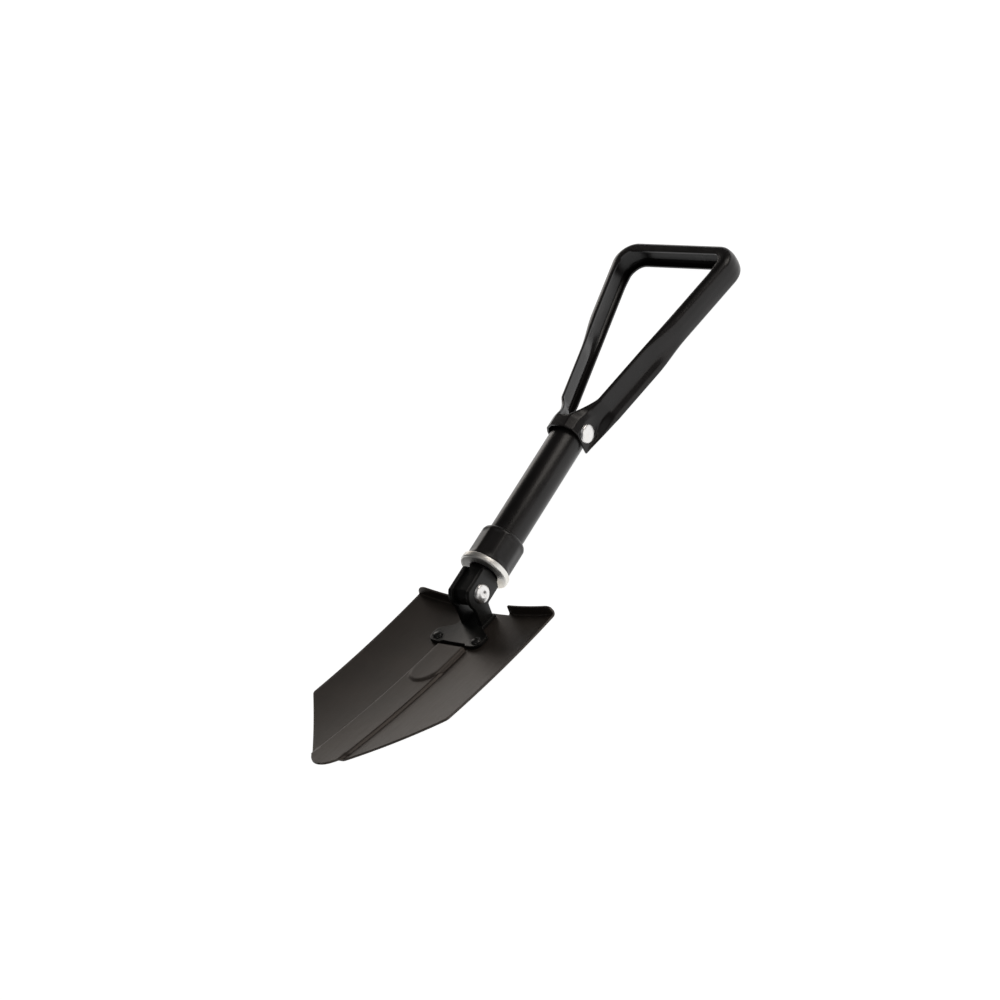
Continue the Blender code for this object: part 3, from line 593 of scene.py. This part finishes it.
def on_blade(x, l, up=0.0):
    """Point = x * across + l * along + (dish + up - pivot height) * out."""
    x, l = np.broadcast_arrays(x, l)
    height = dish(x, l) + up - PIVOT_HEIGHT
    sideways = np.stack((x, 0 * x, 0 * x), axis=-1)
    return sideways + l[..., None] * along_blade + height[..., None] * out_of_blade


# %% [markdown]
# The plan's columns crowd together at the rib's edges, where the sheet turns fastest, and one
# column lies at each foot step's inner end. Above the heel the sheet folds forward through a
# quarter turn into the two steps, so the rows there run round the bend and up.

# %% Blade sheet
def blade_columns(l):
    """Places across at each l: an inner part as wide as the rib, and the rest out to the edge."""
    half = half_width(l)[:, None]
    inner = np.minimum(RIB_WIDTH / 2 + 0.6 * PRESS_SLOPE, 0.72 * half)
    near = np.concatenate((np.linspace(0, 0.72, 8)[:-1], np.linspace(0.72, 1, 13)))
    start = RIB_WIDTH / 2 + 0.6 * PRESS_SLOPE
    at_step = (STEP_GAP / 2 - start) / (HALF_BLADE - start)
    far = np.concatenate((np.linspace(0, at_step, 6)[1:], at_step + (1 - at_step)
                          * np.linspace(0, 1, 22)[1:] ** 0.85))
    right = np.concatenate((inner * near, inner + (half - inner) * far), axis=1)
    return np.concatenate((-right[:, :0:-1], right), axis=1)


def blade_sheet():
    """The folded middle surface and its faces, without those between the two steps."""
    tip = POINT - POINT_RADIUS
    rows = np.concatenate((np.linspace(HEEL, 0.030, 18)[:-1], np.linspace(0.030, 0.096, 48)[:-1],
                           np.linspace(0.096, tip, 40)[:-1],
                           tip + POINT_RADIUS * np.sin(np.radians(np.linspace(0, 89, 22)))))
    plate_x = blade_columns(rows)
    plate = on_blade(plate_x, rows[:, None])
    x = plate_x[0][None, :]
    bend = np.radians(np.linspace(90, 15, 6))[:, None]
    corner = np.clip((np.abs(x) - (HALF_BLADE - STEP_CORNER)) / STEP_CORNER, 0, 1)
    rise = (STEP_HEIGHT - STEP_BEND) * (1 - STEP_CORNER_DROP * (1 - np.sqrt(1 - corner ** 2)))
    share = np.linspace(1, 0, 5)[:-1, None]
    up = np.concatenate((STEP_BEND + rise * share, STEP_BEND * (1 - np.cos(bend)) + 0 * x))
    back = np.concatenate((0 * rise * share + STEP_BEND, STEP_BEND * np.sin(bend) + 0 * x))
    steps = on_blade(x + 0 * up, HEEL + 0 * up, up) - back[..., None] * along_blade
    points = np.concatenate((steps, plate))
    faces = grid_faces(*points.shape[:2])
    on_step = faces.max(axis=1) // points.shape[1] <= len(steps)
    middle_x = np.abs(points.reshape(-1, 3)[faces][:, :, 0]).min(axis=1)
    return points, faces[~(on_step & (middle_x < STEP_GAP / 2 - 0.0002))]


points, faces = blade_sheet()
SHEET = {"thickness": BLADE_SHEET, "offset": 0.0, "use_even_offset": True}
ROUNDED = {"width": 0.0004, "segments": 2, "limit_method": "ANGLE",
           "angle_limit": math.radians(55), "harden_normals": False}
made = finished(mesh_of("blade", points, faces), ("SOLIDIFY", SHEET), ("BEVEL", ROUNDED))
piece_of("blade_pressed_sheet", made, blade_brown.material, "blade", ["blade"])

# %% [markdown]
# ## Bracket
#
# The bracket holds the blade. Its foot is a plate pressed to the blade's dish, with two round
# lobes where it is riveted. Two ears stand on it, one each side of the shaft's tongue. An ear is
# a flat plate, so it is an outline pulled sideways, with its rim rounded over.

# %% Plates from an outline
def plate_mesh(name, outline, low, high, radius=0.0007, steps=4):
    """Rings of the outline, moved in by r (1 - sin a) and out by r (1 - cos a) at each face."""
    ahead, behind = np.roll(outline, -1, axis=0), np.roll(outline, 1, axis=0)
    run = ahead - behind
    normal = np.stack((run[:, 1], -run[:, 0]), axis=1)
    normal /= np.maximum(np.linalg.norm(normal, axis=1, keepdims=True), MERGE)
    area = np.sum(outline[:, 0] * ahead[:, 1] - ahead[:, 0] * outline[:, 1])
    normal *= np.sign(area)
    a = np.linspace(0, math.pi / 2, steps + 1)
    inset = np.concatenate((radius * (1 - np.sin(a)), radius * (1 - np.sin(a[::-1]))))
    x = np.concatenate((low + radius * (1 - np.cos(a)), high - radius * (1 - np.cos(a[::-1]))))
    flat = outline[None] - inset[:, None, None] * normal[None]
    rings = np.concatenate((x[:, None, None] + 0 * flat[..., :1], flat), axis=-1)
    count = len(outline)
    faces = [tuple(face) for face in grid_faces(len(x), count, closed=True)]
    faces += [tuple(range(count)), tuple(range((len(x) - 1) * count, len(x) * count))]
    return mesh_of(name, rings, faces)


def closed_soft(corners, radius, steps=5):
    """A closed outline of (y, z) corners with each corner softened."""
    corners = np.asarray(corners, dtype=float)
    line = softened(np.concatenate((corners[-1:], corners, corners[:1])), radius, steps)[1:-1]
    keep = np.linalg.norm(line - np.roll(line, 1, axis=0), axis=1) > 1e-5
    return line[keep]


def arc(radius, start, end, steps):
    """Points (r cos a, r sin a) between two angles."""
    a = np.linspace(start, end, steps)
    return np.stack((radius * np.cos(a), radius * np.sin(a)), axis=1)


# %% Ears
EAR_IN, EAR_OUT = 0.0080, 0.0118
CAM_R, CAM_REACH, EAR_SIDE, NOSE_R = 0.0200, 0.0196, 0.0120, 0.0145
NECK_FRONT, NECK_BACK, NECK_TOP = 0.0115, -0.0035, 0.014


def neck_point(l, down):
    """(y, z) of a point under the pivot, l along the blade."""
    point = l * along_blade - down * out_of_blade
    return point[1:]


def ear_outline():
    """Cam flat and side flats round the pivot, a round nose, then the neck down to the foot."""
    edge = math.atan2(EAR_SIDE, math.sqrt(CAM_R ** 2 - EAR_SIDE ** 2))
    first = math.acos(CAM_REACH / CAM_R)
    nose = math.pi - math.asin(EAR_SIDE / NOSE_R)
    middle = (EAR_IN + EAR_OUT) / 2
    into_foot = [PIVOT_HEIGHT - float(dish(middle, l)) - BLADE_SHEET / 2 - GAP - FOOT_SHEET * 0.5
                 for l in (NECK_FRONT, NECK_BACK)]
    neck = [neck_point(NECK_FRONT, NECK_TOP), neck_point(NECK_FRONT, into_foot[0]),
            neck_point(NECK_BACK, into_foot[1]), neck_point(NECK_BACK, NECK_TOP)]
    parts = (arc(CAM_R, first, edge, 5), arc(NOSE_R, nose, math.pi + BLADE_LIFT, 9), neck,
             [(0.0, -EAR_SIDE)], arc(CAM_R, -edge, -first, 5))
    return closed_soft(np.concatenate(parts), 0.0009)


outline = ear_outline()
for side, word in ((-1, "left"), (1, "right")):
    low, high = sorted((side * EAR_IN, side * EAR_OUT))
    piece_of("bracket_ear_" + word, plate_mesh("ear", outline, low, high), hinge_black.material,
             "blade", ["blade_bracket"])

# %% Foot of the bracket
def foot_sheet():
    """A plate on the dish: its front edge has two lobes, and it narrows between the ears."""
    u = np.linspace(-1, 1, 61)[None, :]
    v = np.linspace(0, 1, 41)[:, None]
    start = NECK_BACK - 0.0008
    lobe = 0.0022 * smooth((np.abs(u) - 0.45) / 0.2) - 0.0012
    front = FOOT_LENGTH - 0.001 + lobe
    l = start + (front - start) * v + 0 * u
    narrow = EAR_OUT + 0.002
    spread = smooth((l - 0.012) / 0.013)
    corner = np.clip((l - (FOOT_LENGTH - 0.0075)) / 0.0075, 0, 1)
    half = narrow + (FOOT_WIDTH / 2 - narrow) * spread - 0.006 * (1 - np.sqrt(1 - corner ** 2))
    x = u * half
    return on_blade(x, l, (BLADE_SHEET + FOOT_SHEET) / 2 + GAP)


points = foot_sheet()
FOOT = {"thickness": FOOT_SHEET, "offset": 0.0}
FOOT_ROUND = dict(ROUNDED, width=0.0008, segments=3)
made = finished(mesh_of("foot", points, grid_faces(*points.shape[:2])), ("SOLIDIFY", FOOT),
                ("BEVEL", FOOT_ROUND))
piece_of("bracket_foot_plate", made, hinge_black.material, "blade",
         ["blade_bracket"])

# %% Foot rivets
RIVET_IN, RIVET_BACK, RIVET_R = 0.0065, 0.0070, 0.0025
RIVET_X, RIVET_L = FOOT_WIDTH / 2 - RIVET_IN, FOOT_LENGTH - RIVET_BACK


def standing_on_blade(x, l):
    """Turn a piece so that its axis is square to the blade's surface at (x, l)."""
    step = 0.001
    here = on_blade(np.array(x), np.array(l))
    sideways = on_blade(np.array(x + step), np.array(l)) - on_blade(np.array(x - step), np.array(l))
    lengthways = on_blade(np.array(x), np.array(l + step)) - on_blade(np.array(x), np.array(l - step))
    up = np.cross(lengthways, sideways)
    up = up / np.linalg.norm(up) * np.sign(up @ out_of_blade)
    sideways = sideways / np.linalg.norm(sideways)

    def place(points):
        return here + points @ np.array((sideways, up, np.cross(sideways, up)))
    return place


top = BLADE_SHEET / 2 + GAP + FOOT_SHEET
under = -BLADE_SHEET / 2
head = 0.0042
t = np.linspace(0, math.pi / 2, 9)
dome = np.stack((head * np.cos(t), top + 0.0003 + 0.0019 * np.sin(t)), axis=1)
tail = np.stack((head * 0.9 * np.cos(t), under - 0.0003 - 0.0008 * np.sin(t)), axis=1)[::-1]
foot_rivet = np.concatenate((tail, [(RIVET_R, under - 0.0002), (RIVET_R, top + 0.0002)], dome))
for side, word in ((-1, "left"), (1, "right")):
    place = standing_on_blade(side * RIVET_X, RIVET_L)
    piece_of(f"foot_rivet_{word}_domed", turned_mesh("rivet", foot_rivet, 40, place=place),
             hinge_black.material, "blade", [f"foot_rivet_{word}"])

# %% [markdown]
# ## Knuckle
#
# The tongue on the shaft's end is a flat bar with a round nose, which fits between the ears.

# %% Knuckle tongue
TONGUE_HALF, TONGUE_DEPTH, TONGUE_NOSE = EAR_IN - GAP, 0.0096, 0.0110
start = math.asin(TONGUE_DEPTH / TONGUE_NOSE)
tongue_line = np.concatenate(([(TUBE_LOW + 0.004, -TONGUE_DEPTH), (TUBE_LOW + 0.004, TONGUE_DEPTH)],
                              arc(TONGUE_NOSE, math.pi - start, math.pi + start, 24)))
made = plate_mesh("tongue", closed_soft(tongue_line, 0.0006), -TONGUE_HALF, TONGUE_HALF, 0.0009)
piece_of("knuckle_tongue", made, hinge_black.material, "shaft",
         ["shaft_knuckle"])
plug_low, plug_high = TUBE_LOW + 0.001, TUBE_LOW + 0.030
plug_r = TUBE_R - WALL - GAP
core_line = softened([(0, plug_low), (plug_r, plug_low), (plug_r, plug_high), (0, plug_high)], ROUND)
piece_of("knuckle_plug", turned_mesh("core", core_line, 64), hinge_black.material, "shaft",
         ["shaft_knuckle"])

# %% [markdown]
# ## Handle
#
# The handle is a channel of folded sheet, open towards the inside of the triangle. Its section
# changes on the way: an arch that wraps round the tube at the base, a side with a hollow pressed
# in it on the lower arm, and a round back further up, with wider flanges at the grip. So the
# section's corners are functions of the height. They are softened and carried along the outer
# line of the triangle. We make one half and mirror it.

# %% Handle's outer line
HANDLE_LENGTH, GRIP_WIDTH, HANDLE_DEPTH, HANDLE_SHEET = 0.2055, 0.1400, 0.024, 0.0016
ARM_FLANGE, ARM_LIP, GRIP_FLANGE, GRIP_LIP = 0.0093, 0.0074, 0.0125, 0.0096
CORNER_RADIUS, ARM_START, ARM_START_HALF = 0.020, 0.026, 0.0288
FLANGE_LEAST = 0.0020
EAR_FLAT, EAR_DROP = 0.0090, 0.0115
WEB_DROP, WEB_RISE, WEB_VEE = 0.70, 0.0025, 0.0045
PANEL_DEPTH, PANEL_END, PANEL_FADE = 0.0056, 0.078, 0.042
PANEL_START = 0.018
GRIP_START, GRIP_FADE = 0.040, 0.030    # below the grip's outer face
LIP_START, LIP_FADE = 0.010, 0.025
TUBE_RISE = 0.0070                      # tube above the handle's pivot
HANDLE_EAR = TUBE_R + RUN + HANDLE_SHEET
WEB_OUT = math.hypot(TUBE_R, TUBE_RISE) + GAP + HANDLE_SHEET


def handle_line():
    """Half the outer line and its outward directions: grip, round corner, straight arm, ear."""
    slope = (GRIP_WIDTH / 2 - ARM_START_HALF) / (HANDLE_LENGTH - ARM_START)
    arm = np.array((slope, 1)) / math.hypot(slope, 1)
    side = np.array((arm[1], -arm[0]))
    run = CORNER_RADIUS / math.tan(math.acos(arm[0]) / 2)
    centre = np.array((GRIP_WIDTH / 2 - run, HANDLE_LENGTH - CORNER_RADIUS))
    x = np.linspace(0, centre[0], 17)
    grip = np.stack((x, 0 * x + HANDLE_LENGTH), axis=1)
    a = np.linspace(math.pi / 2, math.atan2(side[1], side[0]), 19)[1:]
    turn = np.stack((np.cos(a), np.sin(a)), axis=1)
    corner = centre + CORNER_RADIUS * turn
    t = np.linspace(0, 1, 90)[1:, None]
    straight = corner[-1] * (1 - t) + np.array((ARM_START_HALF, ARM_START)) * t
    vee = WEB_RISE + WEB_VEE
    y = np.concatenate((np.linspace(ARM_START, vee, 28)[1:], np.linspace(vee, WEB_RISE, 12)[1:],
                        np.linspace(WEB_RISE, -EAR_DROP, 14)[1:]))
    t = np.clip((y + EAR_DROP) / (ARM_START + EAR_DROP), 0, 1)
    lower = np.stack((HANDLE_EAR + (ARM_START_HALF - HANDLE_EAR) * t ** 1.1, y), axis=1)
    lean = smooth((y - EAR_FLAT) / (ARM_START - EAR_FLAT)) * math.atan(slope)
    lower_out = np.stack((np.cos(lean), -np.sin(lean)), axis=1)
    line = np.concatenate((grip, corner, straight, lower))
    out = np.concatenate((np.tile((0.0, 1.0), (len(grip), 1)), turn,
                          np.tile(side, (len(straight), 1)), lower_out))
    return line, out


# %% Handle's section
def corner_list(like, pairs):
    """(stations, corners, 2) from pairs whose members are numbers or one value a station."""
    columns = [np.stack([0 * like + value for value in pair], axis=-1) for pair in pairs]
    return np.stack(columns, axis=1)


def handle_corners(line):
    """Corners (inward, z) of the section at each station, from front flange to rear lip.

    Three sections are mixed: a round one for the upper arm and the grip, one with a hollow side
    for the lower arm, and an arch that wraps round the tube at the base.
    """
    x, y = line.T
    grip = smooth((y - (HANDLE_LENGTH - GRIP_START)) / GRIP_FADE)
    upper = smooth((y - PANEL_END) / PANEL_FADE)[:, None]
    base = 1 - smooth((y - WEB_RISE) / (ARM_START - WEB_RISE))
    rear = HANDLE_DEPTH / 2
    front = rear + (WEB_OUT - rear) * base ** 2
    flange = ARM_FLANGE + (GRIP_FLANGE - ARM_FLANGE) * grip
    flange = np.where(y < ARM_START, x + (flange - x) * smooth((y - WEB_RISE) / WEB_VEE), flange)
    lip = ARM_LIP + (GRIP_LIP - ARM_LIP) * grip
    thin = HANDLE_SHEET * 1.2
    lip = thin + (lip - thin) * smooth((y - LIP_START) / LIP_FADE)
    ear = np.maximum(x - HANDLE_EAR, 0.0001)
    panel = ear + (PANEL_DEPTH - ear) * smooth((y - EAR_FLAT) / PANEL_START)
    round_arm = corner_list(x, ((flange, front), (0.0055, front), (0.0016, 0.0096), (0, 0.0035),
                                (0, -0.0035), (0.0012, -0.0096), (0.0045, -rear), (lip, -rear)))
    hollow = corner_list(x, ((flange, front), (panel + 0.0022, front),
                             (panel + 0.0008, front - 0.0012), (panel, 0.0020),
                             (panel - 0.0006, -0.0025), (0.0004, -0.0078), (0, -rear),
                             (lip, -rear)))
    arch = corner_list(x, ((flange, front), (panel + 0.0095, front),
                           (panel + 0.0028, front - 0.0048), (panel, 0.0080),
                           (panel, -0.0095), (0.0001, -0.0108), (0, -rear), (lip, -rear)))
    lower = hollow + (arch - hollow) * base[:, None, None]
    lower[:, 0, 0] = np.maximum(lower[:, 0, 0], lower[:, 1, 0] + FLANGE_LEAST)
    return lower + (round_arm - lower) * upper[:, None], 0.0020 - 0.0011 * base


def handle_skins():
    """Outer and inner points of the sheet: the section, and the section moved in by the sheet."""
    line, out = handle_line()
    corners, radius = handle_corners(line)
    section = softened(corners, radius[:, None, None], 6)
    run = np.gradient(section, axis=1)
    normal = np.stack((-run[..., 1], run[..., 0]), axis=-1)
    normal /= np.linalg.norm(normal, axis=-1, keepdims=True)
    skins = []
    for depth in (0.0, HANDLE_SHEET):
        inward, z = np.moveaxis(section + depth * normal, -1, 0)
        place = line[:, None] - out[:, None] * inward[..., None]
        at_middle = (line[:, 1:] <= WEB_RISE + MERGE) & (section[..., 0] >= line[:, :1] - MERGE)
        place[..., 0][at_middle | (np.abs(line[:, :1]) < MERGE)] = 0.0
        rise = 1 - (1 - WEB_DROP) * smooth((z + HANDLE_DEPTH / 2) / HANDLE_DEPTH)
        place[..., 1] *= np.where(place[..., 1] < 0, rise, 1.0)
        skins.append(np.concatenate((place + np.array((0, PIVOT_SPAN)), z[..., None]), axis=-1))
    return skins


def handle_half():
    """Outer and inner skins joined into a closed loop at each station; open where x = 0."""
    outer, inner = handle_skins()
    loops = np.concatenate((outer, inner[:, ::-1]), axis=1)
    faces = grid_faces(*loops.shape[:2], closed=True)
    per_skin = outer.shape[1]
    last = (len(outer) - 1) * loops.shape[1]
    k = np.arange(per_skin - 1)
    across_sheet = last + 2 * per_skin - 1 - k
    end = np.stack((last + k, last + k + 1, across_sheet - 1, across_sheet), axis=1)
    faces = np.concatenate((faces, end))
    x = loops.reshape(-1, 3)[faces][:, :, 0]
    return loops, faces[np.abs(x).max(axis=1) > MERGE]


points, faces = handle_half()
MIRROR = {"merge_threshold": 0.00002, "use_mirror_merge": True}
EDGES = dict(ROUNDED, width=0.0003, segments=2, angle_limit=math.radians(60))
made = finished(mesh_of("handle", points, faces), ("MIRROR", MIRROR), ("BEVEL", EDGES))
piece_of("handle_folded_channel", made, tube_black.material, "handle",
         ["handle"], smooth_below=math.radians(50))

# %% [markdown]
# ## Floor, lights and camera
#
# The shovel lies on a plain white table. The main soft lights stand behind and to its right, where
# they catch the right side of every ridge. Weaker ones fill from the left, overhead and in front.
# The camera looks down along the blade from its right front with a long lens, and is rolled so
# that the shovel stands up in the picture.

# %% Floor
FLOOR_HALF, FLOOR_DROP = 3.0, 0.0005
floor_paint = Paint("table_white", (0.30, 0.30, 0.30), 0.9, 0.0, Specular_IOR_Level=0.1)
floor_paint.put("Emission Color", (1, 1, 1, 1))
floor_paint.put("Emission Strength", 0.98)
floor_mesh = bpy.data.meshes.new("table")
corners = np.array(((-1, -1, 0), (1, -1, 0), (1, 1, 0), (-1, 1, 0))) * FLOOR_HALF
floor_mesh.from_pydata((corners - (0, 0, FLOOR_DROP)).tolist(), [], [(0, 1, 2, 3)])
floor_mesh.materials.append(floor_paint.material)
floor = bpy.data.objects.new("table", floor_mesh)
bpy.context.scene.collection.objects.link(floor)

# %% Lights
def soft_light(name, place, aim, size, power, colour=(1, 1, 1)):
    """A square area light at a place, pointed at aim."""
    lamp = bpy.data.lights.new(name, "AREA")
    lamp.energy, lamp.size, lamp.color = power, size, colour
    made = bpy.data.objects.new(name, lamp)
    made.location = place
    made.rotation_euler = (Vector(aim) - Vector(place)).to_track_quat("-Z", "Y").to_euler()
    bpy.context.scene.collection.objects.link(made)
    return made


soft_light("low_left", (-1.5, 0.9, 0.30), (0, -0.1, 0), 0.7, 3.5, (1, 0.94, 0.88))
soft_light("back_right", (0.9, 1.3, 1.1), (0, 0, 0), 1.0, 10, (1, 0.94, 0.88))
soft_light("right_low", (1.6, 0.2, 0.40), (0, 0, 0), 0.8, 2.5, (1, 0.96, 0.93))
soft_light("overhead", (0.2, -0.3, 2.2), (0, 0, 0), 1.6, 3)
soft_light("front_low", (0.7, -1.5, 0.5), (0, 0, 0), 0.9, 1)
world = bpy.context.scene.world or bpy.data.worlds.new("studio")
bpy.context.scene.world = world
world.use_nodes = True
world.node_tree.nodes["Background"].inputs["Color"].default_value = (1, 1, 1, 1)
world.node_tree.nodes["Background"].inputs["Strength"].default_value = 0.06
bpy.context.scene.view_settings.view_transform = "Standard"

# %% Camera
AZIMUTH, ELEVATION, ROLL = (math.radians(angle) for angle in (60.13, 38.13, 40.1))
AIM = Vector((-0.0570, 0.0200, 0.0))
DISTANCE = 2.428
camera = bpy.data.objects.new("camera", bpy.data.cameras.new("camera"))
camera.data.lens = 104.3
camera.data.sensor_width = 36.0
bpy.context.scene.collection.objects.link(camera)
level = Vector((math.cos(AZIMUTH), math.sin(AZIMUTH), 0))
ahead = Vector((-math.sin(AZIMUTH) * math.cos(ELEVATION), math.cos(AZIMUTH) * math.cos(ELEVATION),
                -math.sin(ELEVATION)))
right = level * math.cos(ROLL) - level.cross(ahead) * math.sin(ROLL)
turn = Matrix((right, right.cross(ahead), -ahead)).transposed()
camera.matrix_world = Matrix.Translation(AIM - ahead * DISTANCE) @ turn.to_4x4()
bpy.context.scene.camera = camera
